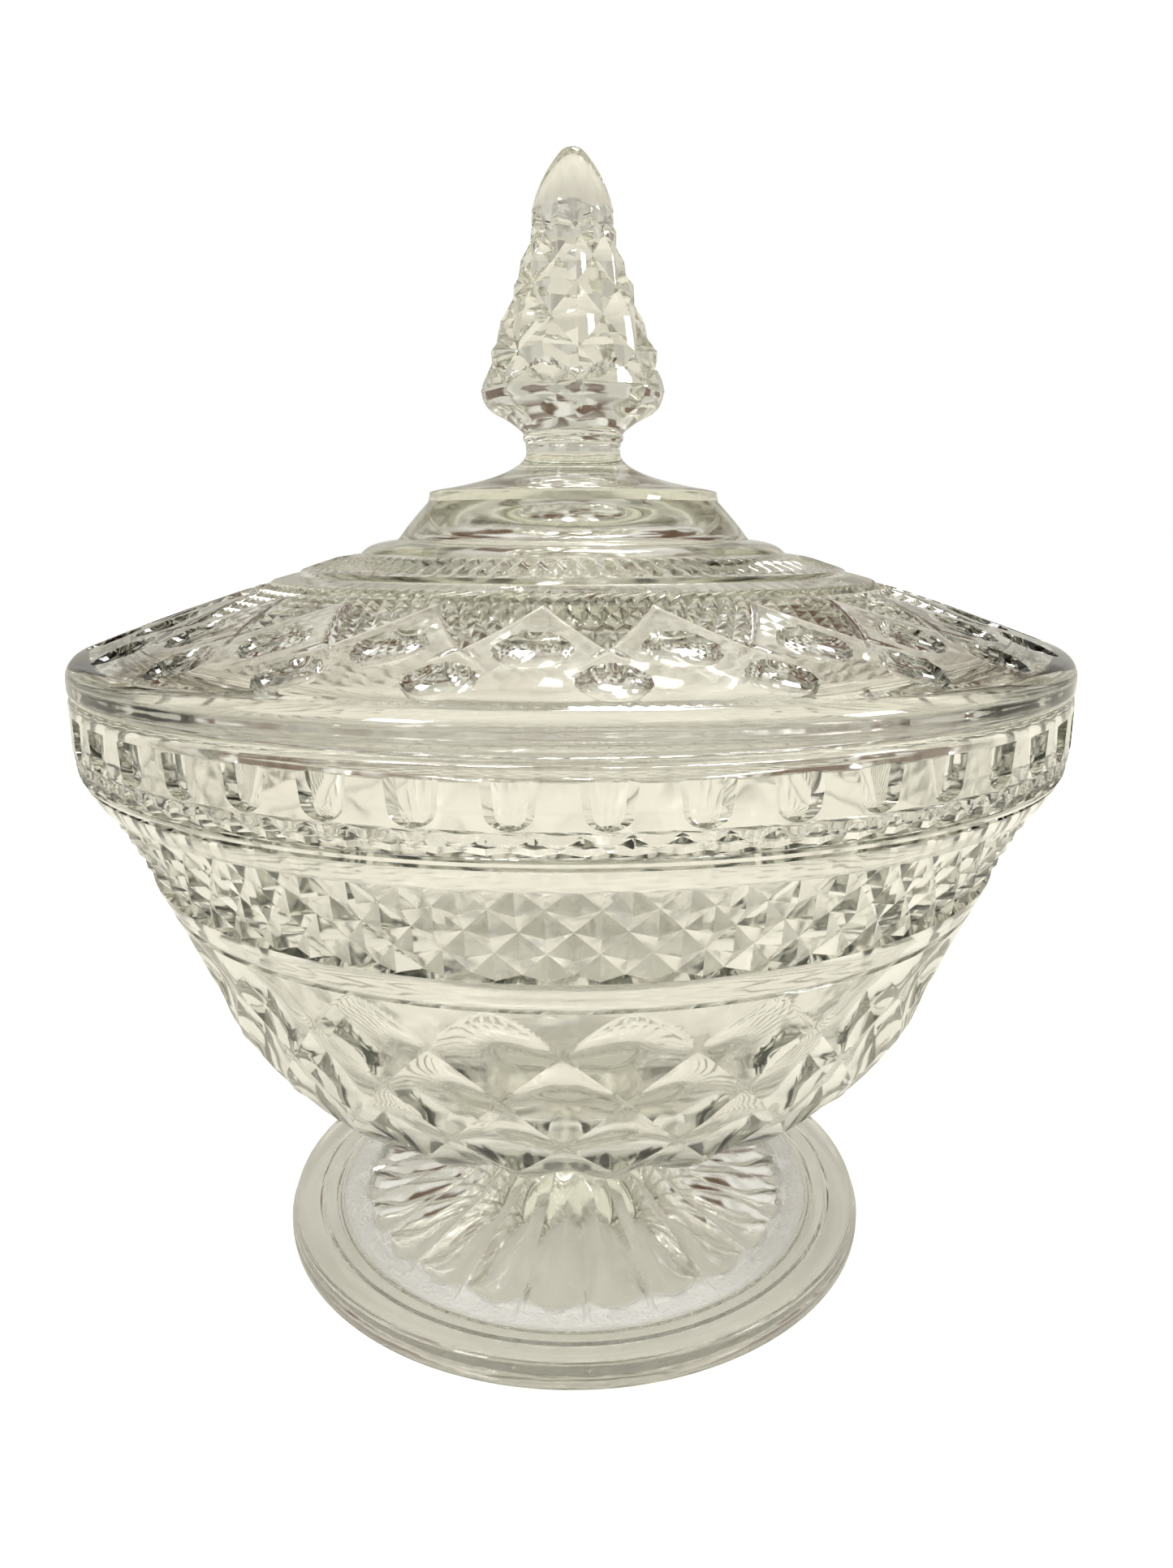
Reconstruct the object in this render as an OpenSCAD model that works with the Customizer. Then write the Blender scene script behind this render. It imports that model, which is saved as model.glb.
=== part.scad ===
// Footed covered jar of pressed glass: a bowl on a stem and foot, and a loose lid with a pointed finial.
// Millimetres, +Z up. The origin is the centre of the foot's resting face.

/* [Overall] */
// Outer diameter of the bowl's rim and of the lid
rim_d = 152; // [130:1:190]
// Height of the bowl's rim, where the lid sits
bowl_h = 95.5; // [85:0.5:120]
// Outer diameter of the foot
foot_d = 101; // [90:1:130]
// Height of the lid from its seat to the tip of the finial
lid_h = 77.5; // [70:0.5:100]

/* [Foot] */
// Thickness of the foot at its raised edge
foot_edge_h = 3.9; // [3:0.1:7]
// Width of the raised edge band
foot_band_w = 4; // [3:0.1:6]
// Thickness of the foot in its flat well
well_h = 2.4; // [2:0.1:2.8]
// Diameter on which the petals of the foot end
petal_d = 77; // [66:1:80]
// Number of petals on the foot
petal_count = 24; // [12:1:36]
// Depth of the valley between two petals
petal_depth = 0.9; // [0.4:0.1:1.4]
// Diameter of the shallow hollow under the foot
hollow_d = 62; // [40:1:66]
// Depth of the hollow under the foot
hollow_h = 3.2; // [1:0.1:3.6]

/* [Stem] */
// Narrowest diameter of the stem
stem_d = 29; // [22:1:34]
// Height of the narrowest place of the stem
stem_z = 16; // [13:0.5:19]

/* [Bowl] */
// Diameter of the bowl at its belly, under the tapered wall
belly_d = 115; // [100:1:122]
// Height of the belly
belly_z = 45; // [40:0.5:50]
// Height where the underside of the bowl meets the stem
under_z = 21; // [20:0.5:23]
// Height of the straight rim band
rim_band_h = 9; // [7:0.5:12]
// How far the tapered wall bows inward of a straight cone
wall_bow = 1.1; // [0:0.1:2]
// Thickness of the glass at the rim
rim_wall = 6; // [5:0.1:8]
// Thickness of the glass in the tapered wall, measured level
bowl_wall = 6; // [5:0.1:8]
// Height of the inside floor of the bowl
floor_z = 28; // [26:0.5:30]

/* [Bowl pattern] */
// Number of arcade flutes round the rim band
arcade_count = 48; // [24:2:60]
// Width of one arcade flute
arcade_w = 6.4; // [4:0.1:7]
// Depth of one arcade flute
arcade_depth = 0.7; // [0.3:0.1:1.2]
// Number of diamonds round the belly
lens_count = 24; // [12:1:30]
// Height of the middle crossings of the belly grooves
lens_z = 50; // [46:0.5:56]
// Height from one crossing of the belly grooves to the next
lens_step = 8; // [6:0.5:9]
// Depth of the belly grooves
lens_depth = 1.1; // [0.4:0.1:1.6]
// Depth of the thin rings between the bands
ring_depth = 0.5; // [0.3:0.1:0.8]

/* [Lid] */
// Thickness of the lid's outer edge
lid_edge_h = 3.4; // [2.5:0.1:6]
// Thickness of the glass in the lid, measured upright
lid_wall = 5; // [4:0.1:7]
// Diameter of the collar, where the skirt meets the dome
collar_d = 84; // [70:1:92]
// Height of the collar above the lid's seat
collar_z = 16; // [14:0.5:19]
// Outer diameter of the shoulder round the foot of the dome
shoulder_d = 67; // [61:1:68]
// Diameter of the dome where its wall rises from the shoulder
dome_d = 55; // [52:1:60]
// Diameter of the cap disc on the dome
cap_d = 45.4; // [38:0.2:50]
// Height of the cap disc above the lid's seat
cap_z = 27.8; // [26:0.1:30]

/* [Locating ring] */
// How far the lid's locating ring reaches down into the bowl
ring_h = 3.5; // [2:0.1:6]
// Thickness of the locating ring
ring_t = 3.6; // [2.5:0.1:5]
// Gap all round between the locating ring and the bowl
ring_gap = 0.8; // [0.4:0.1:1.5]

/* [Lid pattern] */
// Number of diamonds round the skirt
skirt_count = 24; // [12:1:30]
// Radius of the middle crossings of the skirt grooves
skirt_cross_r = 61; // [56:1:64]
// How far a skirt groove runs outward from its crossing
skirt_reach = 11; // [6:1:12]
// Depth of the skirt grooves
skirt_depth = 0.9; // [0.4:0.1:1.4]

/* [Finial] */
// Narrowest diameter of the neck
neck_d = 14.8; // [11:0.2:18]
// Height of the narrowest place of the neck above the lid's seat
neck_z = 34.6; // [33:0.1:37]
// Diameter of the knob
knob_d = 28.4; // [24:0.2:34]
// Height of the knob's widest place above the lid's seat
knob_z = 43.4; // [42:0.1:46]
// Number of facets round the knob and the spire
facet_count = 8; // [6:1:12]
// Number of diamond rows on the spire
spire_rows = 5; // [3:1:6]
// Depth of the grooves between the spire's points
spire_depth = 0.7; // [0.3:0.1:1]
// Depth of the knob's facets
facet_depth = 0.6; // [0.2:0.1:0.9]

/* [Hidden] */
$fn = 96;

glass = [0.82, 0.84, 0.78];
rim_r = rim_d / 2;
foot_r = foot_d / 2;
stem_r = stem_d / 2;
belly_r = belly_d / 2;
rim_bore_r = rim_r - rim_wall;
rim_low_z = bowl_h - rim_band_h;
lip = 0.8;              // rounding of the exposed glass edges
edge_step = 0.4;        // set-back of the upper half of the foot's edge

// A point of a quadratic curve from a over b to c, and the run of n+1 such points.
function bow(a, b, c, t) = (1 - t) * (1 - t) * a + 2 * t * (1 - t) * b + t * t * c;
function run(a, b, c, n) = [for (i = [0:n]) bow(a, b, c, i / n)];
function mid(a, b) = (a + b) / 2;

// ---- Bowl outline, from the base up the outside and down the inside -------------------------------
petal_r = petal_d / 2;
band_in_r = foot_r - foot_band_w;
wall_low = [belly_r, belly_z];
wall_top = [rim_r, rim_low_z];
wall_mid = mid(wall_low, wall_top) - [2 * wall_bow, 0];
inside_low = [belly_r - bowl_wall, belly_z];
inside_top = [rim_bore_r, rim_low_z];

// The crest of a petal, from its end on the foot up to the stem
function petal_crest(t) =
    bow([petal_r - 0.4, well_h + petal_depth], [stem_r + 3, well_h + 6], [stem_r, stem_z], t);

// Heights of the thin rings: two under the rim band, and one at each edge of the small-diamond band
ring_heights = [rim_low_z - 1, rim_low_z - 2.2, rim_low_z - 5.5, rim_low_z - 17.3];

// Outer radius of the tapered wall at a height, and how far it leans outward there
function wall_at(z) = let (t = (z - belly_z) / (rim_low_z - belly_z)) bow(wall_low, wall_mid, wall_top, t)[0];
function wall_slope(z) = atan((wall_at(z + 1) - wall_at(z - 1)) / 2);

bowl_outline = concat(
    [[0, hollow_h]],
    run([0, hollow_h], [hollow_d / 4, hollow_h], [hollow_d / 2, 0], 5),
    [[foot_r - lip / 2, 0], [foot_r, lip / 2]],
    [[foot_r, foot_edge_h / 2], [foot_r - edge_step, foot_edge_h / 2 + edge_step]],
    run([foot_r - edge_step, foot_edge_h - lip], [foot_r - edge_step, foot_edge_h],
        [foot_r - edge_step - lip, foot_edge_h], 3),
    [[band_in_r, foot_edge_h - 0.5], [band_in_r - 0.5, well_h + 0.4]],
    [[band_in_r - 1.8, well_h + 0.6], [band_in_r - 2.8, well_h + 0.5], [band_in_r - 3.6, well_h]],
    [[petal_r, well_h]],
    [for (i = [0:8]) petal_crest(i / 8)],
    run([stem_r, stem_z + 1], [stem_r + 0.5, under_z - 1], [stem_r + 8, under_z + 1], 3),
    run([stem_r + 12, under_z + 1.6], [belly_r - 10, under_z + 5], wall_low, 8),
    run(wall_low, wall_mid, wall_top, 8),
    [[rim_r, bowl_h - lip / 2], [rim_r - lip / 2, bowl_h]],
    [[rim_bore_r + lip, bowl_h], [rim_bore_r, bowl_h - lip]],
    run(inside_top, mid(inside_top, inside_low) - [2 * wall_bow, 0], inside_low, 6),
    run(inside_low, [belly_r - 2 * bowl_wall, floor_z], [stem_r + 6, floor_z], 8),
    [[0, floor_z - 0.5]]
);

// ---- Lid outline, heights above the seat, from the locating ring round the outside ---------------
locate_r = rim_bore_r - ring_gap;
edge_r = rim_r;
skirt_top = [collar_d / 2, collar_z];
skirt_low = [edge_r - 1.6, lid_edge_h + 1.2];
shoulder = [shoulder_d / 2, collar_z + 2.5];
dome_low = [dome_d / 2, collar_z + 4.9];
cap_edge = [cap_d / 2, cap_z];
neck = [neck_d / 2, neck_z];
knob = [knob_d / 2, knob_z];
spire_low_z = knob_z + 2.6;
spire_top_z = lid_h - 9.5;
spire_low_r = knob_d / 2 - 0.9;
spire_top_r = 6.4;

function spire_row_z(i) = spire_low_z + (spire_top_z - spire_low_z) * i / spire_rows;
function spire_r(z) = spire_low_r + (spire_top_r - spire_low_r) * (z - spire_low_z) / (spire_top_z - spire_low_z);
function spire_bump(i) = let (z0 = spire_row_z(i), z1 = spire_row_z(i + 1), zm = z0 + 0.35 * (z1 - z0))
    [[spire_r(z0) - spire_depth, z0], [spire_r(zm) + 0.4 * spire_depth, zm]];
spire_outline = [for (i = [0:spire_rows - 1]) each spire_bump(i)];

// Height of the skirt at a radius, and its slope
skirt_mid = mid(skirt_low, skirt_top) + [0, 0.8];
function skirt_z(r) =
    bow(skirt_low, skirt_mid, skirt_top, (skirt_low[0] - r) / (skirt_low[0] - skirt_top[0]))[1];
function skirt_slope(r) = atan(skirt_z(r - 1) - skirt_z(r));

lid_outline = concat(
    [[locate_r - ring_t, 0], [locate_r - ring_t, -ring_h + lip], [locate_r - ring_t + lip, -ring_h]],
    [[locate_r - lip, -ring_h], [locate_r, -ring_h + lip], [locate_r, 0]],
    [[edge_r - lip, 0]],
    run([edge_r - lip, 0], [edge_r, 0], [edge_r, lip], 2),
    run([edge_r, lid_edge_h - 1], [edge_r, lid_edge_h + 0.6], skirt_low, 4),
    run(skirt_low, skirt_mid, skirt_top, 5),
    [[skirt_top[0] - 0.4, skirt_top[1] + 0.4]],
    run(shoulder, [shoulder[0] - 1.4, dome_low[1] - 0.8], dome_low + [0.5, -0.4], 4),
    run(dome_low, [dome_low[0] - 1.3, dome_low[1] + 1.9], cap_edge + [0.3, -1.6], 6),
    [cap_edge - [0, 0.9], cap_edge - [0.3, 0]],
    run(cap_edge - [1, -0.1], [neck[0] + 1, cap_edge[1] + 1.2], neck, 7),
    run(neck + [0.2, 1.4], [neck[0] + 0.6, neck[1] + 4], [knob[0] - 1.2, knob[1] - 3.2], 5),
    run([knob[0] - 0.6, knob[1] - 2.4], [knob[0] + 0.1, knob[1] - 0.8], knob + [0, 1.2], 3),
    spire_outline,
    run([spire_top_r, spire_top_z], [spire_top_r - 2.2, lid_h], [0, lid_h], 7),
    [[0, cap_z - lid_wall]],
    run([0, cap_z - lid_wall], [cap_edge[0] - 3, cap_z - lid_wall], [dome_low[0] - lid_wall, dome_low[1] - lid_wall], 6),
    [[skirt_top[0] - lid_wall, skirt_top[1] - lid_wall], [locate_r - ring_t - 2, 1.6]]
);

// ---- Cutters -------------------------------------------------------------------------------------
// A square bar lying on its edge, so that it cuts a V of the given depth into a face below it
module vee(length, depth) {
    side = 3 * depth;
    translate([0, 0, side / sqrt(2) - depth])
        rotate([45, 0, 0])
            cube([length, side, side], center = true);
}

// One flute of the arcade: a round-bottomed channel in the rim band
module arcade_flute() {
    flute_r = (arcade_w * arcade_w / 4 + arcade_depth * arcade_depth) / (2 * arcade_depth);
    low = rim_low_z + 3.2 + arcade_w / 3;
    high = bowl_h - 2.4;
    intersection() {
        translate([rim_r + flute_r - arcade_depth, 0, low - arcade_w])
            cylinder(r = flute_r, h = high - low + arcade_w);
        union() {
            translate([rim_r - 4, 0, low])
                rotate([0, 90, 0])
                    cylinder(d = arcade_w, h = 8);
            translate([rim_r - 4, -arcade_w / 2, low])
                cube([8, arcade_w, high - low]);
        }
    }
}

// One straight groove across the belly, centred on a crossing of the lattice
module belly_groove(z, hand) {
    across = wall_at(z) * sin(180 / lens_count);
    down = lens_step / cos(wall_slope(z));
    translate([wall_at(z), 0, z])
        rotate([0, 90 + wall_slope(z), 0])
            rotate([0, 0, hand * atan2(across, down)])
                vee(2.1 * norm([across, down]), lens_depth);
}

// One valley between two petals, from the well up the foot towards the stem
module petal_valley() {
    low = [petal_r + 1, well_h];
    high = petal_crest(0.5) - [0, petal_depth];
    rotate([0, 0, 180 / petal_count])
        translate([mid(low, high)[0], 0, mid(low, high)[1]])
            rotate([0, atan2(high[1] - low[1], low[0] - high[0]), 0])
                translate([0, 0, petal_depth])
                    vee(norm(high - low), petal_depth);
}

// One straight groove down the skirt, centred on a crossing of the lattice
module skirt_groove(hand) {
    across = skirt_cross_r * sin(180 / skirt_count);
    translate([skirt_cross_r, 0, skirt_z(skirt_cross_r)])
        rotate([0, skirt_slope(skirt_cross_r), 0])
            rotate([0, 0, hand * atan2(across, skirt_reach)])
                vee(2.1 * norm([across, skirt_reach]), skirt_depth);
}

// One flat facet of the knob
module knob_facet() {
    translate([knob[0] - facet_depth, -knob[0], knob_z - 3])
        cube([knob[0], knob_d, 6]);
}

// One upright groove between two columns of the spire's points
module spire_groove() {
    low = [spire_low_r, spire_low_z];
    high = [spire_top_r, spire_top_z - 3];
    translate([mid(low, high)[0], 0, mid(low, high)[1]])
        rotate([0, 90 - atan((low[0] - high[0]) / (high[1] - low[1])), 0])
            vee(norm(high - low), spire_depth);
}

// A thin V groove round the bowl
module thin_ring(z, r) {
    rotate_extrude()
        polygon([[r - ring_depth, z], [r + 2, z - 2 - ring_depth], [r + 2, z + 2 + ring_depth]]);
}

// ---- Pieces --------------------------------------------------------------------------------------
module bowl() {
    color(glass)
    difference() {
        rotate_extrude() polygon(bowl_outline);
        for (i = [0:arcade_count - 1])
            rotate([0, 0, i * 360 / arcade_count]) arcade_flute();
        for (i = [0:petal_count - 1])
            rotate([0, 0, i * 360 / petal_count]) petal_valley();
        for (i = [0:lens_count - 1], hand = [-1, 1])
            rotate([0, 0, (i + 0.5) * 360 / lens_count]) belly_groove(lens_z, hand);
        for (z = ring_heights) thin_ring(z, wall_at(z));
    }
}

module lid() {
    color(glass)
    translate([0, 0, bowl_h])
        difference() {
            rotate_extrude() polygon(lid_outline);
            for (i = [0:skirt_count - 1], hand = [-1, 1])
                rotate([0, 0, i * 360 / skirt_count]) skirt_groove(hand);
            for (i = [0:facet_count - 1])
                rotate([0, 0, i * 360 / facet_count]) knob_facet();
            for (i = [0:facet_count - 1])
                rotate([0, 0, (i + 0.5) * 360 / facet_count]) spire_groove();
        }
}

bowl();
lid();
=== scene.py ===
"""A footed covered jar of clear pressed glass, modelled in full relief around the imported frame.

Outlines are (radius, height) points in millimetres. Each piece is one closed skin of rings round the Z axis.
The bowl's starts on the axis under the foot, runs up the outside and comes back down the inside to the axis.
The lid's starts on the axis under its roof, runs down the inside and comes back up the outside to the tip.
Angles are turns round the jar: 0 faces the camera and they grow towards +X.
"""

import math

import bpy
import numpy as np
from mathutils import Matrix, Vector


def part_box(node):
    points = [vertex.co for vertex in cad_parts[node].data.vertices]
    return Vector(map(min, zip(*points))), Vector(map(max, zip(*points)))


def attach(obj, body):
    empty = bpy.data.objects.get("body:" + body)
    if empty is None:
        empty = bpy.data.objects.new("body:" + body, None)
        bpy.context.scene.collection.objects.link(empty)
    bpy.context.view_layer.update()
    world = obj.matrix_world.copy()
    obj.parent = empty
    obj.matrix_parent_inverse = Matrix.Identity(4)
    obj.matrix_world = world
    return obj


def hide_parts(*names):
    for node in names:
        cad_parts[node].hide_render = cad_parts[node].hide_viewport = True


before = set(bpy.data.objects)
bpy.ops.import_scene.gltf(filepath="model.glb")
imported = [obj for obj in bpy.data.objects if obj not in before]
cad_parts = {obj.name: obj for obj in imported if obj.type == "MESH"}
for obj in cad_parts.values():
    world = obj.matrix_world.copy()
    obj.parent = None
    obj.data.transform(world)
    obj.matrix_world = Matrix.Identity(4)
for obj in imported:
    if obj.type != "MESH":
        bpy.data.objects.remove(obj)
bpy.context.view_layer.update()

MM = 0.001

# ---- Sizes ----------------------------------------------------------------------------------------
_, bowl_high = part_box("bowl")
_, lid_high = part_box("lid")

RIM_R = bowl_high.x / MM
BOWL_H = bowl_high.z / MM
TIP_Z = lid_high.z / MM

# Foot
FOOT_R = 50.5
FOOT_EDGE_H = 3.9
WELL_H = 2.4
HOLLOW_R, HOLLOW_H = 31.0, 3.2
PETALS = 24
SCOOP_R, RIDGE_R = 37.9, 41.0
SCOOP_DEPTH = 2.4
RIDGE_H = 0.7

# Stem and bowl
STEM_R, STEM_Z = 14.5, 16.0
UNDER_Z = 21.0
BELLY_R, BELLY_Z = 57.5, 45.0
RIM_LOW_Z = BOWL_H - 9.0
WALL_BOW = 1.1
WALL = 6.0
FLOOR_Z = 28.0
DRAIN = 0.5  # how far the bowl's floor dips to its middle
LIP = 0.8

# Bowl pattern
LENSES = 24
LENS_LEVELS = (33.9, 41.7, 49.5, 57.3)
ARCH_TOP_Z = 64.1
LENS_DEPTH = 1.4
LENS_SWELL = 0.4
LENS_CROWN = 1.9  # a higher number makes a hollow steeper at its edges and flatter in its middle
POINTS = 72
POINT_LOW_Z, POINT_HIGH_Z = 68.6, 80.9
POINT_DEPTH = 1.0
FACET_LOW_Z, FACET_HIGH_Z = 85.7, 88.0
FACET_DEPTH = 0.55
ARCADES = 48
ARCADE_LOW_Z, ARCADE_HIGH_Z = 88.4, 93.4
ARCADE_END_H = 1.6  # height of the round end of a panel
ARCADE_SIDE = 0.30  # half the width of a panel, as a share of its pitch
ARCADE_DEPTH = 1.4

# Lid, heights above the seat
LID_WALL = 5.0
RING_GAP, RING_T, RING_H = 0.8, 3.6, 3.5
SKIRT_LOW = (RIM_R - 1.6, 4.9)
COLLAR = (43.2, 15.6)
SKIRT_BOW = 1.4
SHOULDER = (33.5, 18.5)
DOME_LOW = (27.5, 20.9)
CAP = (22.7, 27.8)
NECK = (7.4, 34.6)
SKIRTS = 24
SKIRT_DEPTH = 1.5
GROOVE_DEPTH = 0.25
SKIRT_LENSES = ((0.5, 69.4, 3.8), (0.0, 62.3, 4.2))  # place in the pitch, radius of the middle, size
FAN_DEPTH = 0.85
FLUTES = 96
FLUTE_DEPTH = 0.6
FACETS = 8
KNOB_DEPTH, KNOB_INSET = 0.35, 0.1
SPIRE_Z = (43.0, 48.2, 53.2, 57.7, 61.8, 65.4, 68.3)  # heights of the rows of points
SPIRE_R = (14.5, 13.5, 11.1, 9.7, 7.9, 6.9, 6.1)  # and their radii
SPIRE_DEPTH = 1.5
ARCH_DEPTH = 0.7

# Where the patterns stand round the jar, in turns
LENS_TURN = -0.7 / 360
POINT_TURN = 0.6 / 360
ARCADE_TURN = 3.3 / 360
PETAL_TURN = 3.2 / 360
SKIRT_TURN = -3.4 / 360
SPIRE_TURN = 4.3 / 360

# Points round a ring, where the relief is finest, fine, broad, plain and small, and on the inside
FINEST, FINE, BROAD, PLAIN, SMALL = 864, 576, 384, 288, 96
INSIDE = 192
CREASE = 24  # edges that turn by more degrees than this are shaded as creases


# ---- Curves ---------------------------------------------------------------------------------------
def bow(a, b, c, n, ends=True):
    """n + 1 points of a quadratic curve from a over b to c; without ends, the first is left out."""
    t = np.linspace(0, 1, n + 1)[:, None]
    pts = (1 - t) ** 2 * np.array(a) + 2 * t * (1 - t) * np.array(b) + t ** 2 * np.array(c)
    return pts if ends else pts[1:]


def line(a, b, n):
    """n points from a to b, without a."""
    t = np.linspace(0, 1, n + 1)[1:, None]
    return np.array(a) + t * (np.array(b) - np.array(a))


def smooth(x, low, high):
    """0 below low, 1 above high, and an S curve between."""
    t = np.clip((x - low) / (high - low), 0, 1)
    return t * t * (3 - 2 * t)


def part(x):
    """What x has over the whole number below it."""
    return x - np.floor(x)


def outward(across):
    """From 1 at each whole number to 0 midway between two."""
    return np.abs(2 * part(across) - 1)


def inward(across):
    """From 0 at each whole number to 1 midway between two."""
    return 1 - outward(across)


def lattice(across, up):
    """How far into a diamond a point is: 0 on each of the two sets of slanting lines, 1 midway between."""
    return inward(across + up), inward(across - up)


def pillow(a, b):
    """The shape of a hollow, or of a cushion, in a diamond: 0 on its four lines, 1 in its middle."""
    return (1 - (1 - a) ** LENS_CROWN) * (1 - (1 - b) ** LENS_CROWN)


def bowled(into):
    """A round hollow with steep sides: 0 at its edge, 1 at its middle."""
    return np.sqrt(1 - (1 - np.clip(into, 0, 1)) ** 2)


# ---- Skin builder ---------------------------------------------------------------------------------
class Skin:
    """Rings of points round Z that are stitched, each to the next, into one closed skin."""

    def __init__(self, name):
        self.name = name
        self.points = []
        self.faces = []
        self.count = 0
        self.last = None

    def _put(self, pts):
        start = self.count
        self.points.append(pts)
        self.count += len(pts)
        return start

    def pole(self, z):
        """A single point on the axis: the first or the last of the skin."""
        start = self._put(np.array([[0, 0, z]]))
        if self.last is not None:
            first, n, _ = self.last
            for k in range(n):
                self.faces.append((first + k, first + (k + 1) % n, start))
        self.last = (start, 1, None)

    def ring(self, r, z, turn, depth, middle):
        """One ring: radius, height, turn and relief of each point. middle is the relief midway between the
        points of this ring and the last, by which each quad's diagonal is chosen."""
        n = len(turn)
        angle = 2 * math.pi * turn
        pts = np.stack([r * np.sin(angle), -r * np.cos(angle), z * np.ones(n)], -1)
        start = self._put(pts)
        if self.last is not None:
            self._stitch(self.last, (start, n, depth), middle)
        self.last = (start, n, depth)

    def _stitch(self, low, high, middle):
        """Faces between two rings, each given as its first point, its number of points and its relief."""
        a, na, da = low
        b, nb, db = high
        if na == 1:
            for k in range(nb):
                self.faces.append((a, b + (k + 1) % nb, b + k))
            return
        if na == nb:
            k = np.arange(na)
            nxt = (k + 1) % na
            quads = np.stack([a + k, a + nxt, b + nxt, b + k], -1)
            if middle is None or da is None:
                self.faces.extend(map(tuple, quads.tolist()))
                return
            one = np.abs((da + db[nxt]) / 2 - middle)
            two = np.abs((da[nxt] + db) / 2 - middle)
            for q, split in zip(quads.tolist(), (one <= two).tolist()):
                p0, p1, p2, p3 = q
                if split:
                    self.faces.append((p0, p1, p2))
                    self.faces.append((p0, p2, p3))
                else:
                    self.faces.append((p0, p1, p3))
                    self.faces.append((p1, p2, p3))
            return
        i = j = 0
        while i < na or j < nb:
            if j >= nb or (i < na and (i + 1) / na <= (j + 1) / nb):
                self.faces.append((a + i % na, a + (i + 1) % na, b + j % nb))
                i += 1
            else:
                self.faces.append((a + i % na, b + (j + 1) % nb, b + j % nb))
                j += 1

    def band(self, path, columns, relief=None, warp=None, start=0.0):
        """Rings along a path of outline points. relief(turn, row) is in millimetres outward, and
        warp(turn, row) is the turn a column is moved to. Both take rows from 0 to len(path) - 1.
        start is the turn of the first column."""
        path = np.asarray(path, float)
        slope = np.gradient(path, axis=0) if len(path) > 1 else np.array([[0.0, 1.0]])
        slope /= np.linalg.norm(slope, axis=1)[:, None] + 1e-12
        turn = np.arange(columns) / columns
        step = 0.5 / columns
        for row, ((r, z), (tr, tz)) in enumerate(zip(path, slope)):
            at = warp(turn, row) if warp else turn
            depth = middle = None
            d = np.zeros(columns)
            if relief:
                d = depth = relief(at, row)
                if row:
                    mid = warp(turn + step, row - 0.5) if warp else turn + step
                    middle = relief(mid, row - 0.5)
            self.ring(r + d * tz, z - d * tr, at + start, depth, middle)

    def build(self, material):
        """The finished skin as an object in the scene."""
        mesh = bpy.data.meshes.new(self.name)
        mesh.from_pydata((np.concatenate(self.points) * MM).tolist(), [], self.faces)
        mesh.validate()
        mesh.shade_smooth()
        mesh.set_sharp_from_angle(angle=math.radians(CREASE))
        mesh.materials.append(material)
        piece = bpy.data.objects.new(self.name, mesh)
        bpy.context.scene.collection.objects.link(piece)
        return piece


# ---- Materials ------------------------------------------------------------------------------------
def feed(tree, socket, value):
    """Link a socket to the one that gives its value, or set it to a plain value."""
    if isinstance(value, bpy.types.NodeSocket):
        tree.links.new(value, socket)
    else:
        socket.default_value = value


def node(tree, kind, **inputs):
    """A new node. Its inputs are named with _ for each space."""
    n = tree.nodes.new(kind)
    for key, value in inputs.items():
        feed(tree, n.inputs[key.replace("_", " ")], value)
    return n


def sums(tree, kind, operation, *values):
    """A Math or a Vector Math node with these values."""
    n = tree.nodes.new(kind)
    n.operation = operation
    for socket, value in zip(n.inputs, values):
        feed(tree, socket, value)
    return n


def noise(tree, place, scale, detail):
    """The grey output of a noise texture."""
    return node(tree, "ShaderNodeTexNoise", Vector=place, Scale=scale, Detail=detail).outputs["Fac"]


def window(tree, value, low, high, edge):
    """1 where value lies between low and high, and 0 outside, with soft edges."""
    rise = node(tree, "ShaderNodeMapRange", Value=value, From_Min=low - edge, From_Max=low + edge)
    fall = node(tree, "ShaderNodeMapRange", Value=value, From_Min=high - edge, From_Max=high + edge)
    fall.inputs["To Min"].default_value = 1.0
    fall.inputs["To Max"].default_value = 0.0
    for n in (rise, fall):
        n.interpolation_type = "SMOOTHSTEP"
    both = sums(tree, "ShaderNodeMath", "MULTIPLY", rise.outputs["Result"], fall.outputs["Result"])
    return both.outputs["Value"]


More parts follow.
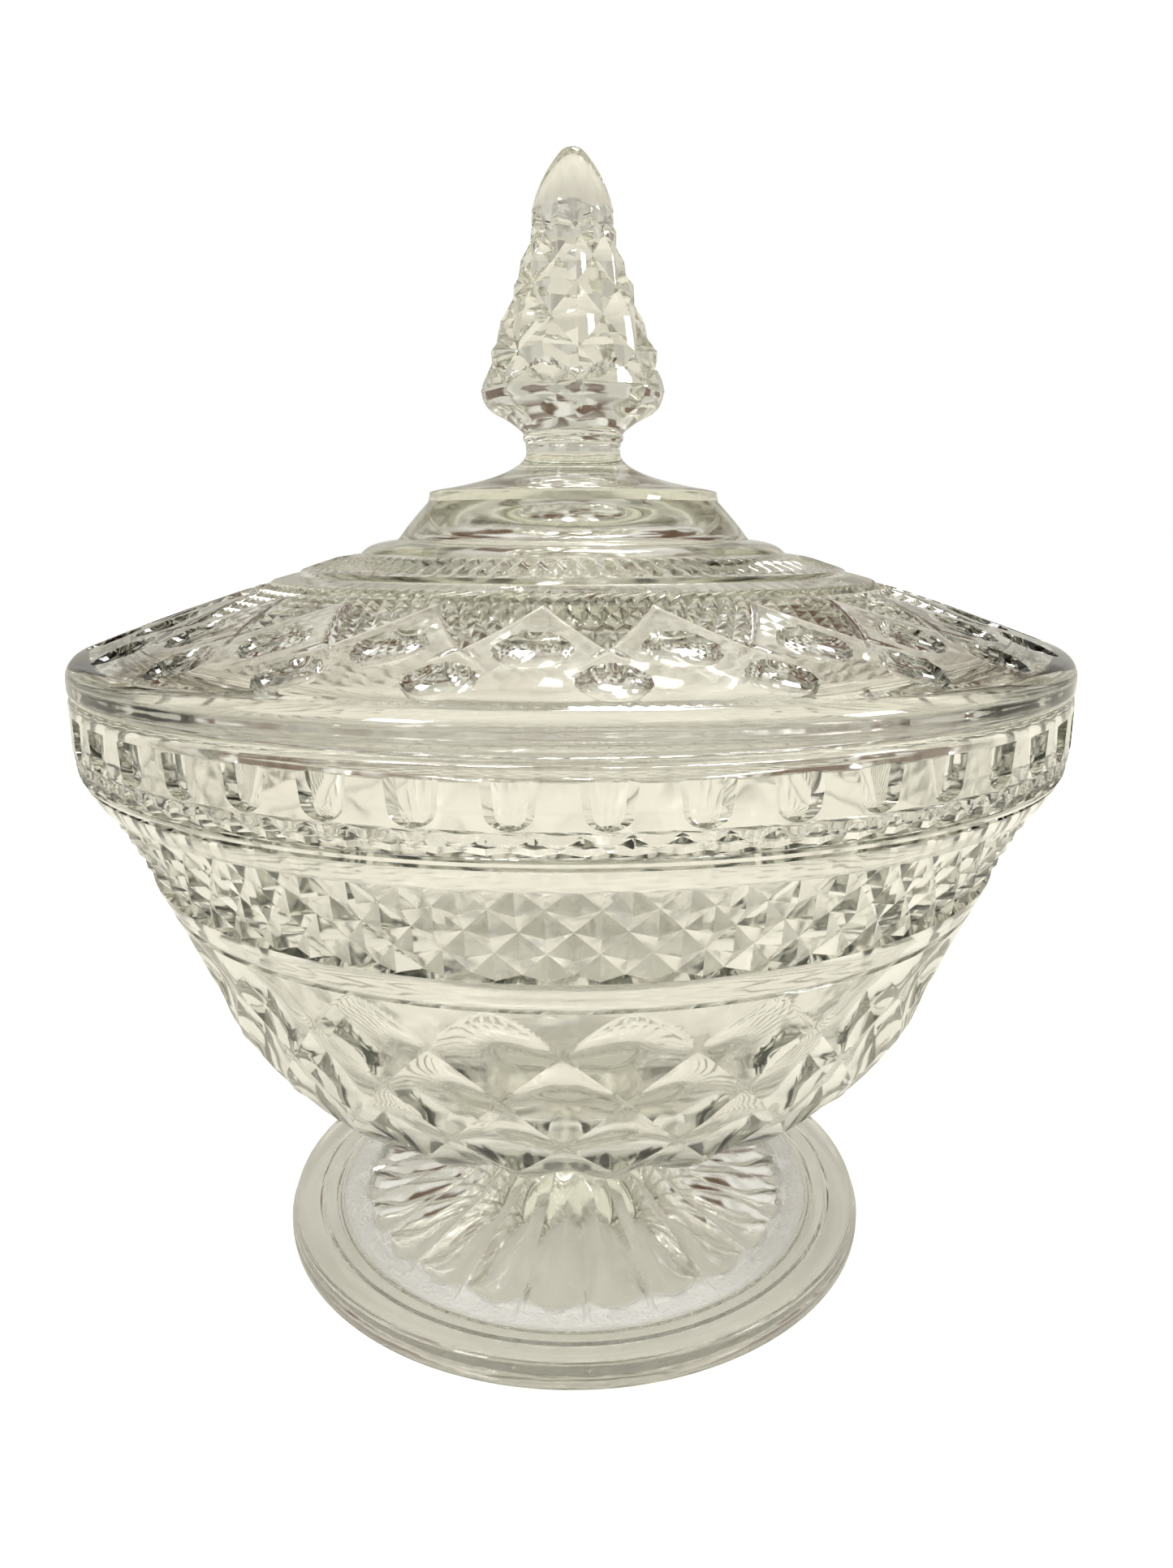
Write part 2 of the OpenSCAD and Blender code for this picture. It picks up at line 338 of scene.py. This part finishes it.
def glass_material(name, stipple_low, stipple_high):
    """Clear pressed glass. Between two radii of the foot it is stippled, as the mould leaves it."""
    ripple_scale, grain_scale = 90.0, 1500.0
    smoothest, roughest, stipple_roughness = 0.02, 0.10, 0.2
    stipple_clearness = 0.2
    stipple_z = (0.8 * MM, 5 * MM)

    mat = bpy.data.materials.new(name)
    mat.use_nodes = True
    tree = mat.node_tree
    place = tree.nodes.new("ShaderNodeTexCoord").outputs["Object"]
    ripple = noise(tree, place, ripple_scale, 3.0)
    grain = noise(tree, place, grain_scale, 2.0)

    split = node(tree, "ShaderNodeSeparateXYZ", Vector=place)
    flat = node(tree, "ShaderNodeCombineXYZ", X=split.outputs["X"], Y=split.outputs["Y"])
    radius = sums(tree, "ShaderNodeVectorMath", "LENGTH", flat.outputs["Vector"])
    ring = window(tree, radius.outputs["Value"], stipple_low * MM, stipple_high * MM, 1.2 * MM)
    low = window(tree, split.outputs["Z"], *stipple_z, 0.5 * MM)
    mask = sums(tree, "ShaderNodeMath", "MULTIPLY", ring, low).outputs["Value"]

    rough = node(tree, "ShaderNodeMapRange", Value=ripple, To_Min=smoothest, To_Max=roughest)
    even = rough.outputs["Result"]
    stippled = sums(tree, "ShaderNodeMath", "MULTIPLY_ADD", mask, stipple_roughness, even)
    frosted = node(tree, "ShaderNodeMapRange", Value=mask, To_Min=1.0, To_Max=stipple_clearness)
    waves = node(tree, "ShaderNodeBump", Strength=0.18, Distance=0.0006, Height=ripple)
    pits = node(tree, "ShaderNodeBump", Strength=mask, Distance=0.0004, Height=grain)
    tree.links.new(waves.outputs["Normal"], pits.inputs["Normal"])

    bsdf = tree.nodes["Principled BSDF"]
    bsdf.inputs["Base Color"].default_value = (0.985, 0.98, 0.96, 1)
    bsdf.inputs["IOR"].default_value = 1.5
    tree.links.new(stippled.outputs["Value"], bsdf.inputs["Roughness"])
    tree.links.new(frosted.outputs["Result"], bsdf.inputs["Transmission Weight"])
    tree.links.new(pits.outputs["Normal"], bsdf.inputs["Normal"])

    tint = node(tree, "ShaderNodeVolumeAbsorption", Color=(0.86, 0.87, 0.79, 1), Density=21.0)
    tree.links.new(tint.outputs["Volume"], tree.nodes["Material Output"].inputs["Volume"])
    return mat


# ---- Bowl -----------------------------------------------------------------------------------------
def wall_r(z):
    """Outer radius of the bowl at a height, from under the belly to the rim band."""
    under = bow((STEM_R + 12, UNDER_Z + 1.6), (BELLY_R - 10, UNDER_Z + 5), (BELLY_R, BELLY_Z), 80)
    middle = ((BELLY_R + RIM_R) / 2 - 2 * WALL_BOW, (BELLY_Z + RIM_LOW_Z) / 2)
    taper = bow((BELLY_R, BELLY_Z), middle, (RIM_R, RIM_LOW_Z), 80, ends=False)
    outline = np.concatenate([under, taper, [[RIM_R, BOWL_H]]])
    return np.interp(z, outline[:, 1], outline[:, 0])


def wall(heights):
    """Outline points on the outside of the bowl at these heights."""
    heights = np.asarray(heights, float)
    return np.stack([wall_r(heights), heights], -1)


def foot_skin(skin):
    """The hollow underneath, the resting ring, the stepped edge, and the rings round the well of the foot."""
    skin.pole(HOLLOW_H)
    skin.band(bow((0, HOLLOW_H), (HOLLOW_R / 2, HOLLOW_H), (HOLLOW_R, 0), 8, ends=False), INSIDE)
    corner = 0.45
    skin.band(line((HOLLOW_R, 0), (FOOT_R - corner, 0), 2), PLAIN)
    skin.band(bow((FOOT_R - corner, 0), (FOOT_R, 0), (FOOT_R, corner), 4, ends=False), PLAIN)
    # the step, and the rounded edge over it
    skin.band([(FOOT_R, 1.7), (FOOT_R - 0.1, 1.95), (FOOT_R - 0.42, 2.1), (FOOT_R - 0.48, 2.4)], PLAIN)
    edge = (FOOT_R - 0.5, FOOT_EDGE_H - 0.9)
    top = (FOOT_R - 1.5, FOOT_EDGE_H)
    skin.band(bow(edge, (edge[0], FOOT_EDGE_H - 0.1), top, 5), PLAIN)
    skin.band(bow(top, (FOOT_R - 2.8, FOOT_EDGE_H - 0.2), (45.7, 3.1), 5, ends=False), PLAIN)
    # a groove, the outer ring, a groove, and the thin inner ring beside the well
    skin.band([(45.45, 2.8), (45.2, 2.85)], PLAIN)
    skin.band(bow((45.1, 3.1), (44.2, 3.4), (42.9, 2.9), 5, ends=False), PLAIN)
    skin.band([(42.6, 2.3), (42.3, 2.2), (42.1, 2.5)], PLAIN)
    skin.band([(41.9, 2.62), (41.7, 2.6), (41.5, WELL_H)], PLAIN)


def petals_skin(skin):
    """Scoops that climb from the well to the stem, with sharp ridges between them that run into the well."""
    low = np.concatenate([
        line((RIDGE_R + 0.3, WELL_H), (SCOOP_R + 0.3, WELL_H + 0.2), 5),
        bow((SCOOP_R + 0.3, WELL_H + 0.2), (33, 5.6), (26, 7.3), 20, ends=False),
        bow((26, 7.3), (19, 9.0), (STEM_R + 0.8, STEM_Z - 2.6), 9, ends=False),
        bow((STEM_R + 0.8, STEM_Z - 2.6), (STEM_R, STEM_Z - 1.3), (STEM_R, STEM_Z), 4, ends=False),
    ])
    radius = low[:, 0]
    rows = np.arange(len(low))

    def relief(turn, row):
        r = np.interp(row, rows, radius)
        a = inward(PETALS * turn)
        rounded = 1 - (1 - a) ** 2
        scoop = SCOOP_DEPTH * (0.3 + 0.7 * smooth(r, STEM_R, 24)) * (0.45 * a + 0.55 * rounded)
        end = SCOOP_R - 1.6 * (1 - a) ** 2
        ridge = RIDGE_H * (1 - smooth(a, 0, 0.16)) * smooth(RIDGE_R - r, 0, 2.4) * smooth(r, 33, 37)
        fade = smooth(r, STEM_R + 0.1, STEM_R + 4)
        return (ridge - scoop * bowled((end - r) / 6)) * fade

    skin.band(low, BROAD, relief, start=PETAL_TURN)


def under_skin(skin):
    """The flared top of the stem and the fluted underside of the bowl."""
    skin.band([(STEM_R + 0.1, STEM_Z + 1), (STEM_R + 0.4, STEM_Z + 2)], PLAIN)
    flare = bow((STEM_R + 0.6, STEM_Z + 2.6), (STEM_R + 2.4, UNDER_Z + 0.6), (STEM_R + 12, UNDER_Z + 1.6), 8)
    skin.band(flare, PLAIN)
    heights = np.linspace(UNDER_Z + 2.2, LENS_LEVELS[0], 11)[:-1]
    under = wall(heights)
    rows = np.arange(len(under))

    def relief(turn, row):
        z = np.interp(row, rows, heights)
        a = inward(LENSES * turn)
        grown = smooth(z, UNDER_Z + 2, LENS_LEVELS[0] - 3)
        return LENS_SWELL * grown - LENS_DEPTH * pillow(a, a) * (0.25 + 0.75 * grown)

    skin.band(under, FINE, relief, start=LENS_TURN + 0.5 / LENSES)


def lens_skin(skin):
    """The big diamond-shaped hollows of the belly, with sharp ridges between them, arched along the top."""
    per_level = 12
    levels = len(LENS_LEVELS)
    plain = [np.linspace(LENS_LEVELS[i], LENS_LEVELS[i + 1], per_level + 1)[:-1] for i in range(levels - 1)]
    share = np.arange(per_level + 1) / per_level
    bulge = 1.35  # makes the arches fuller than the diamonds under them
    arch = LENS_LEVELS[-1] + (ARCH_TOP_Z - LENS_LEVELS[-1]) * (1 - (1 - share) ** bulge)
    heights = np.concatenate([*plain, arch])

    def relief(turn, row):
        level = row / per_level
        across = LENSES * turn
        a, b = lattice(across, level / 2)
        d = LENS_SWELL - LENS_DEPTH * pillow(a, b)
        if level > levels - 1:
            # no hollow outside the upper halves of the last row
            x = outward(across + (levels - 1) / 2)
            beyond = x - (1 - (level - (levels - 1)))
            d = np.where(beyond > 0, LENS_SWELL, d)
        return d

    skin.band(wall(heights), FINE, relief, start=LENS_TURN + 0.5 / LENSES)


def points_skin(skin):
    """The smooth bead, the band of small pointed diamonds, and the smooth band over it."""
    bead = wall(np.linspace(ARCH_TOP_Z + 0.5, POINT_LOW_Z - 0.25, 6))
    swell = np.array([0.3, 0.45, 0.4, 0.4, 0.5, 0.3])
    bead[:, 0] += swell
    skin.band(bead, PLAIN)
    levels = 4
    per_level = 4
    heights = np.linspace(POINT_LOW_Z, POINT_HIGH_Z, levels * per_level + 1)

    def relief(turn, row):
        a, b = lattice(POINTS * turn, row / per_level / 2)
        return -POINT_DEPTH * (1 - np.minimum(a, b))

    skin.band(wall(heights), FINE, relief, start=POINT_TURN)
    upper = wall([POINT_HIGH_Z + 0.25, 81.6, 82.6, 83.6, 83.95])
    upper[:, 0] += np.array([0.3, 0.45, 0.5, 0.5, 0.4])
    skin.band(upper, PLAIN)
    groove = wall([84.2, 84.45, 84.9, 85.15, 85.45])
    groove[:, 0] += np.array([-0.25, 0.4, 0.4, -0.3, 0.2])
    skin.band(groove, PLAIN)


def rim_skin(skin):
    """A row of small facets, the arcade of round-ended panels, and the plain lip."""
    heights = np.linspace(FACET_LOW_Z, FACET_HIGH_Z, 7)

    def facets(turn, row):
        a, b = lattice(2 * ARCADES * turn, row / 12)
        return -FACET_DEPTH * (1 - np.minimum(a, b))

    skin.band(wall(heights), FINE, facets, start=ARCADE_TURN)

    end_z = ARCADE_LOW_Z + ARCADE_END_H
    heights = np.concatenate([
        ARCADE_LOW_Z + ARCADE_END_H * (1 - np.cos(np.linspace(0, math.pi / 2, 6))),
        np.linspace(end_z, ARCADE_HIGH_Z, 6)[1:],
    ])
    rows = np.arange(len(heights))

    def half_width(row):
        z = np.interp(row, rows, heights)
        up = (z - ARCADE_LOW_Z) / (ARCADE_HIGH_Z - ARCADE_LOW_Z)
        width = ARCADE_SIDE * (0.78 + 0.22 * up)
        if z < end_z:
            drop = (end_z - z) / ARCADE_END_H
            width *= math.sqrt(max(0.0, 1 - drop * drop))
        return max(width, 0.004)

    def warp(turn, row):
        """Moves the columns from a quarter of the pitch each side of a panel's middle to its edges."""
        x = part(ARCADES * turn) - 0.5
        w = half_width(row)
        grid = 0.25
        inner = x * w / grid
        outer = np.sign(x) * (w + (np.abs(x) - grid) * (0.5 - w) / (0.5 - grid))
        moved = np.where(np.abs(x) <= grid, inner, outer)
        return (np.floor(ARCADES * turn) + 0.5 + moved) / ARCADES

    def panels(turn, row):
        x = np.abs(part(ARCADES * turn) - 0.5)
        w = half_width(row)
        hollow = bowled(1 - x / w)
        return -ARCADE_DEPTH * hollow * smooth(row, -0.5, 2.5)

    skin.band(wall(heights), FINE, panels, warp, start=ARCADE_TURN - 0.5 / ARCADES)
    skin.band(wall([ARCADE_HIGH_Z + 0.25]), FINE)
    skin.band(bow((RIM_R, BOWL_H - 1.2), (RIM_R, BOWL_H), (RIM_R - 1.2, BOWL_H), 5), PLAIN)


def bowl_inside_skin(skin):
    """The seat, the bore and the smooth hollow of the bowl."""
    bore = RIM_R - WALL
    skin.band(bow((bore + LIP, BOWL_H), (bore, BOWL_H), (bore, BOWL_H - LIP), 4), INSIDE)
    inner_mid = ((BELLY_R + RIM_R) / 2 - WALL - 2 * WALL_BOW, (BELLY_Z + RIM_LOW_Z) / 2)
    skin.band(line((bore, BOWL_H - LIP), (bore, RIM_LOW_Z), 3), INSIDE)
    skin.band(bow((bore, RIM_LOW_Z), inner_mid, (BELLY_R - WALL, BELLY_Z), 12, ends=False), INSIDE)
    corner = (BELLY_R - 2 * WALL, FLOOR_Z)
    skin.band(bow((BELLY_R - WALL, BELLY_Z), corner, (STEM_R + 6, FLOOR_Z), 12, ends=False), INSIDE)
    skin.band(line((STEM_R + 6, FLOOR_Z), (2.0, FLOOR_Z - 0.9 * DRAIN), 5), INSIDE)
    skin.pole(FLOOR_Z - DRAIN)


def make_bowl(material):
    skin = Skin("bowl_glass")
    foot_skin(skin)
    petals_skin(skin)
    under_skin(skin)
    lens_skin(skin)
    points_skin(skin)
    rim_skin(skin)
    bowl_inside_skin(skin)
    piece = skin.build(material)
    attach(piece, "bowl")
    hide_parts("bowl")


# ---- Lid ------------------------------------------------------------------------------------------
def lifted(path):
    """An outline whose heights are above the seat, at its height on the jar."""
    return np.asarray(path, float) + np.array([0, BOWL_H])


def lid_inside_skin(skin):
    """The hollow underside and the locating ring."""
    ring_out = RIM_R - WALL - RING_GAP
    ring_in = ring_out - RING_T
    roof = CAP[1] - LID_WALL
    dome_in = (DOME_LOW[0] - LID_WALL, DOME_LOW[1] - LID_WALL)
    skirt_in = (COLLAR[0] - LID_WALL, COLLAR[1] - LID_WALL + 0.3)
    skin.pole(BOWL_H + roof)
    skin.band(lifted(bow((0, roof), (CAP[0] - 3, roof), dome_in, 16, ends=False)), INSIDE)
    skin.band(lifted(bow(dome_in, (dome_in[0] + 4, dome_in[1] - 2), skirt_in, 5, ends=False)), INSIDE)
    skin.band(lifted(bow(skirt_in, (52, 7.0), (ring_in - 2, 1.6), 12, ends=False)), INSIDE)
    skin.band(lifted(bow((ring_in - 1, 1.1), (ring_in, 0.8), (ring_in, -0.6), 4)), INSIDE)
    skin.band(lifted(bow((ring_in, -RING_H + LIP), (ring_in, -RING_H), (ring_in + LIP, -RING_H), 3)), INSIDE)
    turned = bow((ring_out - LIP, -RING_H), (ring_out, -RING_H), (ring_out, -RING_H + LIP), 3)
    skin.band(lifted(turned), INSIDE)
    skin.band(lifted([(ring_out, -0.3), (ring_out + 0.15, 0)]), INSIDE)


def skirt_z(r):
    """Height of the skirt at a radius: nearly a cone, from the lid's edge to the collar."""
    t = (SKIRT_LOW[0] - r) / (SKIRT_LOW[0] - COLLAR[0])
    return SKIRT_LOW[1] + (COLLAR[1] - SKIRT_LOW[1]) * t + SKIRT_BOW * t * (1 - t)


def skirt_skin(skin):
    """The lid's thick edge, and the skirt with its big diamonds and fans of small points."""
    skin.band(lifted(bow((RIM_R - 1.0, 0), (RIM_R, 0), (RIM_R, 1.0), 4)), PLAIN)
    skin.band(lifted(bow((RIM_R, 2.2), (RIM_R, 3.9), SKIRT_LOW, 7)), PLAIN)
    per_level = 18
    levels = np.arange(-4, 2 * per_level + 4) / per_level
    r = np.interp(levels, [-4 / per_level, 0, 1, 2, 2 + 3 / per_level], [74.1, 71.6, 62.0, 49.6, 47.3])
    rows = np.arange(len(levels))

    def relief(turn, row):
        level = np.interp(row, rows, levels)
        across = SKIRTS * turn
        a, b = lattice(across, level / 2)
        here = np.interp(row, rows, r)
        pitch = 2 * math.pi * here / SKIRTS
        big = -GROOVE_DEPTH * (1 - smooth(np.minimum(a, b), 0, 0.08)) * smooth(level, 0.6, 1.0)
        for place, middle_r, lens_r in SKIRT_LENSES:
            sideways = (part(across + 0.5 - place) - 0.5) * pitch
            into = 1 - np.hypot(sideways, here - middle_r) / lens_r
            big = big - SKIRT_DEPTH * bowled(into)
        if level <= 1:
            return big
        # small points fill the fans that the two upper rows of diamonds leave under the collar
        fan = level - 2 + inward(across)
        c, d = lattice(6 * across, 3 * level)
        small = -FAN_DEPTH * (1 - np.minimum(c, d))
        return np.where(fan > 1e-6, small, big)

    skin.band(lifted(np.stack([r, skirt_z(r)], -1)), FINEST, relief, start=SKIRT_TURN)


def dome_skin(skin):
    """The plain collar, the fluted step, the dome and the cap disc."""
    skin.band(lifted([(46.9, 14.6), (46.0, 14.85), (44.4, 15.3), (43.7, 15.45)]), FINE)
    skin.band(lifted([(43.3, 15.4), (43.0, 15.65), (42.6, 16.1)]), FINE)
    last = 10
    step = lifted(bow((42.2, 16.25), (38.3, 17.9), (34.4, 18.3), last))

    def flutes(turn, row):
        a = inward(FLUTES * turn + 0.25 * row / last)
        return -FLUTE_DEPTH * (1 - a) * min(1.0, row / 1.5) * min(1.0, (last - row) / 1.5 + 0.05)

    skin.band(step, FINE, flutes)
    skin.band(lifted([(34.0, 18.35), SHOULDER]), PLAIN)
    low = (DOME_LOW[0] + 0.4, DOME_LOW[1] - 0.4)
    skin.band(lifted(bow((SHOULDER[0] - 0.2, SHOULDER[1] + 0.2), (SHOULDER[0] - 1.4, 20.1), low, 6)), PLAIN)
    wall_top = (CAP[0] + 0.3, CAP[1] - 1.6)
    skin.band(lifted(bow(DOME_LOW, (DOME_LOW[0] - 1.3, DOME_LOW[1] + 1.9), wall_top, 9)), PLAIN)
    cap_edge = [(CAP[0] + 0.05, CAP[1] - 0.7), (CAP[0], CAP[1] - 0.15), (CAP[0] - 0.25, CAP[1])]
    skin.band(lifted(cap_edge), PLAIN)
    skin.band(lifted(bow((CAP[0] - 1.1, CAP[1] + 0.2), (9.2, 30.0), (NECK[0] + 0.1, 33.2), 12)), SMALL)


def finial_skin(skin):
    """The neck, the faceted knob, the spire of points and the smooth tip."""
    skin.band(lifted([(NECK[0], 33.8), (NECK[0] + 0.02, 34.6), (NECK[0] + 0.12, 35.3)]), SMALL)
    skin.band(lifted([(NECK[0] + 0.45, 35.7), (NECK[0] + 0.5, 36.2), (NECK[0] + 0.35, 36.5)]), SMALL)
    low = lifted(bow((8.0, 36.9), (9.6, 38.4), (12.2, 39.4), 6))
    mid = lifted(bow((12.2, 39.4), (14.0, 40.4), (14.35, 42.6), 6, ends=False))
    cols = SMALL * 2

    def facet(turn):
        return -KNOB_DEPTH * (1 - outward(FACETS * turn) ** 2) - KNOB_INSET

    def knob(turn, row):
        return facet(turn) * smooth(row, 0, 7)

    skin.band(np.concatenate([low, mid]), cols, knob, start=SPIRE_TURN)

    top = len(SPIRE_Z) - 1
    per_row = 12
    levels = np.arange(0, top * per_row + 1) / per_row
    z = np.interp(levels, np.arange(top + 1), SPIRE_Z)
    r = np.interp(levels, np.arange(top + 1), SPIRE_R)
    path = lifted(np.stack([r, z], -1))

    def spire(turn, row):
        level = row / per_row
        across = FACETS * turn + 0.5
        a, b = lattice(across, level / 2)
        d = -SPIRE_DEPTH * (1 - np.minimum(a, b)) * (0.6 + 0.4 * (top - level) / top)
        # the knob's facets reach up under arches into the first row, and each arch has a groove along it
        arch = 0.55 * (1 - outward(FACETS * turn) ** 1.6)
        crown = smooth(level, 5.2, 6.0)
        d = np.where(level < arch, facet(turn), d * (1 - 0.75 * crown))
        return d - ARCH_DEPTH * (1 - smooth(np.abs(level - arch - 0.04), 0.02, 0.09))

    skin.band(path, cols, spire, start=SPIRE_TURN)
    tip = TIP_Z - BOWL_H
    skin.band(lifted(bow((6.15, 68.7), (5.1, 73.0), (2.3, 76.3), 10)), SMALL)
    skin.band(lifted(bow((2.3, 76.3), (1.5, tip - 0.1), (0.35, tip - 0.02), 5, ends=False)), SMALL)
    skin.pole(TIP_Z)


def make_lid(material):
    skin = Skin("lid_glass")
    lid_inside_skin(skin)
    skirt_skin(skin)
    dome_skin(skin)
    finial_skin(skin)
    piece = skin.build(material)
    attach(piece, "lid")
    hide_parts("lid")


# ---- Studio ---------------------------------------------------------------------------------------
def make_floor():
    """White to the camera, and a warm grey table to the rays that the glass bends."""
    bpy.ops.mesh.primitive_plane_add(size=8, location=(0, 0, -0.3 * MM))
    floor = bpy.context.object
    floor.name = "floor"
    mat = bpy.data.materials.new("floor_pale")
    mat.use_nodes = True
    tree = mat.node_tree
    table = tree.nodes["Principled BSDF"]
    table.inputs["Base Color"].default_value = (0.62, 0.61, 0.545, 1)
    table.inputs["Roughness"].default_value = 0.8
    table.inputs["Emission Color"].default_value = (0.83, 0.815, 0.725, 1)
    table.inputs["Emission Strength"].default_value = 0.4
    paper = node(tree, "ShaderNodeEmission", Strength=0.75)
    sheet = node(tree, "ShaderNodeBsdfDiffuse", Color=(0.9, 0.9, 0.9, 1))
    white = tree.nodes.new("ShaderNodeAddShader")
    feed(tree, white.inputs[0], paper.outputs[0])
    feed(tree, white.inputs[1], sheet.outputs[0])
    seen = tree.nodes.new("ShaderNodeMixShader")
    feed(tree, seen.inputs[0], tree.nodes.new("ShaderNodeLightPath").outputs["Is Camera Ray"])
    feed(tree, seen.inputs[1], table.outputs[0])
    feed(tree, seen.inputs[2], white.outputs[0])
    feed(tree, tree.nodes["Material Output"].inputs["Surface"], seen.outputs[0])
    floor.data.materials.append(mat)


def area_light(name, place, size, power):
    """A rectangular lamp that faces the middle of the jar."""
    data = bpy.data.lights.new(name, "AREA")
    data.energy = power
    data.shape = "RECTANGLE"
    data.size, data.size_y = size
    lamp = bpy.data.objects.new(name, data)
    lamp.location = place
    aim = Vector((0, 0, 0.09)) - Vector(place)
    lamp.rotation_euler = aim.to_track_quat("-Z", "Y").to_euler()
    bpy.context.scene.collection.objects.link(lamp)


def ramp(tree, value, *stops):
    """A colour ramp through two stops, each a position and a colour."""
    n = node(tree, "ShaderNodeValToRGB", Fac=value)
    for element, (position, colour) in zip(n.color_ramp.elements, stops):
        element.position = position
        element.color = (*colour, 1)
    return n.outputs["Color"]


def mix(tree, kind, factor, a, b):
    """The colour that a and b make together, of which b's share is factor."""
    n = tree.nodes.new("ShaderNodeMix")
    n.data_type = "RGBA"
    n.blend_type = kind
    for key, value in (("Factor", factor), ("A", a), ("B", b)):
        feed(tree, n.inputs[key], value)
    return n.outputs["Result"]


def make_world():
    """White behind the jar, and a warm grey room with a few dark things in it for the glass to bend."""
    world = bpy.data.worlds.new("studio")
    bpy.context.scene.world = world
    world.use_nodes = True
    tree = world.node_tree
    around = tree.nodes.new("ShaderNodeTexCoord").outputs["Generated"]
    up = node(tree, "ShaderNodeSeparateXYZ", Vector=around).outputs["Z"]
    height = node(tree, "ShaderNodeMapRange", Value=up, From_Min=-1.0, From_Max=1.0).outputs["Result"]
    room = ramp(tree, height, (0.45, (0.57, 0.56, 0.495)), (0.95, (1.0, 0.99, 0.935)))
    # upright bands, as walls, doors and windows make round a room
    drawn_out = sums(tree, "ShaderNodeVectorMath", "MULTIPLY", around, (1.0, 1.0, 0.25)).outputs["Vector"]
    bands = noise(tree, drawn_out, 5.5, 1.0)
    shade = ramp(tree, bands, (0.46, (0.80, 0.785, 0.76)), (0.54, (1.0, 1.0, 1.0)))
    walls = mix(tree, "MULTIPLY", 1.0, room, shade)
    # brown things, only well above the jar
    clouds = noise(tree, around, 2.6, 2.0)
    brown = ramp(tree, clouds, (0.45, (0.16, 0.085, 0.055)), (0.50, (1.0, 1.0, 1.0)))
    overhead = node(tree, "ShaderNodeMapRange", Value=up, From_Min=0.1, From_Max=0.4).outputs["Result"]
    furnished = mix(tree, "MULTIPLY", overhead, walls, brown)
    camera_ray = tree.nodes.new("ShaderNodeLightPath").outputs["Is Camera Ray"]
    seen = mix(tree, "MIX", camera_ray, furnished, (1, 1, 1, 1))
    feed(tree, tree.nodes["Background"].inputs["Color"], seen)


def make_camera():
    """Close in, just under the height of the cap disc and tipped down, as a phone is held."""
    data = bpy.data.cameras.new("camera")
    data.sensor_width = 36
    data.lens = 24.97
    data.clip_start = 0.01
    camera = bpy.data.objects.new("camera", data)
    camera.location = (0.0021, -0.1794, 0.1175)
    camera.rotation_euler = (math.radians(90 - 13.16), 0, 0)
    bpy.context.scene.collection.objects.link(camera)
    bpy.context.scene.camera = camera


def main():
    scene = bpy.context.scene
    scene.view_settings.view_transform = "Standard"
    # a ray passes many walls of glass before it leaves the jar
    scene.cycles.max_bounces = 24
    scene.cycles.transmission_bounces = 24
    scene.cycles.glossy_bounces = 8
    make_camera()
    make_floor()
    make_world()
    area_light("key", (-0.45, -0.5, 0.7), (0.16, 0.16), 2.5)
    area_light("fill", (0.6, -0.25, 0.45), (0.14, 0.14), 1.5)
    area_light("top", (0.1, 0.3, 0.9), (0.25, 0.2), 2.5)
    glass = glass_material("pressed_glass", SCOOP_R - 0.6, RIDGE_R + 0.4)
    make_bowl(glass)
    make_lid(glass)


main()
